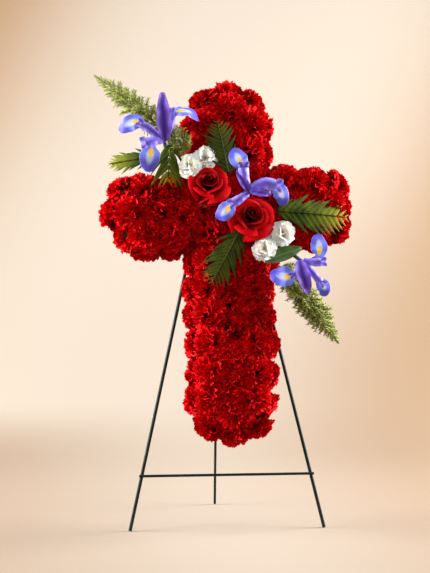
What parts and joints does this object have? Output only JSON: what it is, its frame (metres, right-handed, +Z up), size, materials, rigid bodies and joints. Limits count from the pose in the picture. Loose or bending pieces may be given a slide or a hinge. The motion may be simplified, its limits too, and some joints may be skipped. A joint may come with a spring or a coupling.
{
  "type": "floral cross on easel",
  "caption": "Standing cross of packed red carnations with a diagonal spray of roses, irises and fern, on a folding three-legged wire easel.",
  "frame": {"origin": "on the floor, under the middle of the bounding box", "axes": "+Z up, +X to the viewer's right, -Y towards the viewer, who faces the flowers"},
  "size_m": [0.4904, 0.2754, 0.842],
  "materials": {
    "easel_paint": "dark green satin paint",
    "hanger_wire": "plain wire",
    "floral_foam": "matt open foam",
    "red_carnation": "soft ruffled petals",
    "red_rose": "velvet petals",
    "blue_iris": "soft petals",
    "white_carnation": "soft ruffled petals",
    "broad_leaf": "satin leaf",
    "fern": "satin leaflets",
    "foxtail": "fine soft needles"
  },
  "bodies": {
    "easel_and_cross": {"easel_left_leg": "easel_paint", "easel_right_leg": "easel_paint", "easel_crossbar": "easel_paint", "easel_pivot_bar": "easel_paint", "easel_stop_bar": "easel_paint", "hanger_hook": "hanger_wire", "foam_cross": "floral_foam", "carnations_shaft": "red_carnation", "carnations_top_arm": "red_carnation", "carnations_left_arm": "red_carnation", "carnations_right_arm": "red_carnation", "rose_lower": "red_rose", "rose_upper": "red_rose", "iris_centre": "blue_iris", "iris_upper_left": "blue_iris", "iris_lower_right": "blue_iris", "small_carnation_far_left": "white_carnation", "small_carnation_left": "white_carnation", "small_carnation_right": "white_carnation", "small_carnation_low": "white_carnation", "broad_leaf": "broad_leaf", "fern_upper": "fern", "fern_right": "fern", "fern_lower": "fern", "fern_left": "fern", "fern_drooping": "fern", "foxtail_upper_left": "foxtail", "foxtail_lower_right": "foxtail"},
    "rear_leg": {"easel_rear_leg": "easel_paint", "easel_rear_leg_eye": "easel_paint"}
  },
  "joints": [
    {"name": "rear_leg_fold", "type": "hinge", "parent": "easel_and_cross", "child": "rear_leg", "pos_m": [-0.00319, 0.04626, 0.70076], "axis": [-1, 0, 0], "range_deg": [0, 18]}
  ]
}
